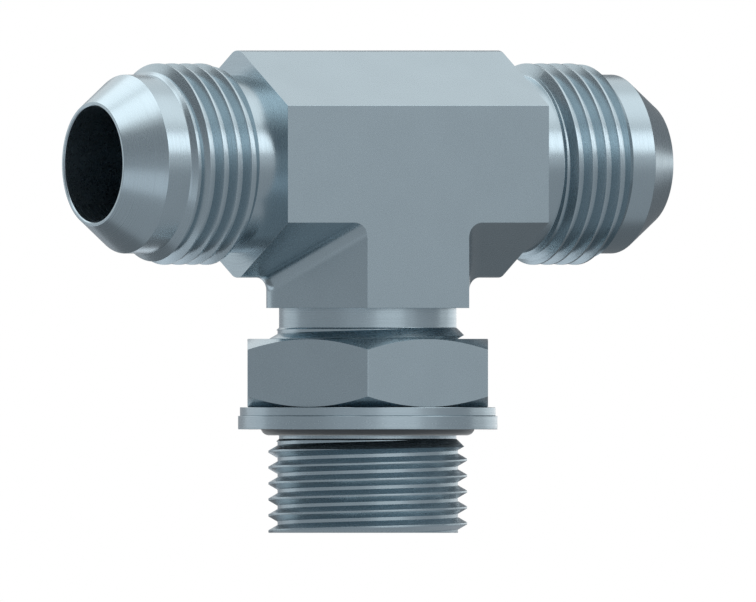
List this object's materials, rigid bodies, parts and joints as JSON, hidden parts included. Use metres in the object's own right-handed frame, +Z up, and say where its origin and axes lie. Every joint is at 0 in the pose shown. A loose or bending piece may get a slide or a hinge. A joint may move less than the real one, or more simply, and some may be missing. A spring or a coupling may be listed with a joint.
{
  "type": "adjustable tee adapter",
  "caption": "Hexagonal pipe tee with threaded flared ends on the run and an adjustable threaded stud with lock nut, washer, retaining ring and O-ring on the branch.",
  "frame": {"origin": "centre of the stud's flat end face, on the branch axis", "axes": "+Z up along the branch axis towards the run, +X along the run towards the right-hand flared end"},
  "size_m": [0.0844, 0.0344, 0.0642],
  "materials": {
    "body_steel": "zinc plated, satin",
    "nut_steel": "zinc plated, satin",
    "washer_steel": "zinc plated, satin",
    "ring_steel": "zinc plated, satin",
    "seal_rubber": "matte black"
  },
  "bodies": {
    "tee": {"tee_body": "body_steel"},
    "seal_stack": {"support_washer": "washer_steel", "retaining_ring": "ring_steel", "o_ring": "seal_rubber"},
    "nut": {"lock_nut": "nut_steel"}
  },
  "joints": [
    {"name": "stack_slide", "type": "slide", "parent": "tee", "child": "seal_stack", "axis": [0, 0, 1], "range_m": [0, 0.0038]},
    {"name": "nut_turn", "type": "hinge", "parent": "seal_stack", "child": "nut", "pos_m": [0, 0, 0.02125], "axis": [0, 0, 1], "range_deg": [0, 646]}
  ],
  "couplings": [
    {"joint": "stack_slide", "follows": "nut_turn", "m_per_rad": 0.00033693}
  ]
}
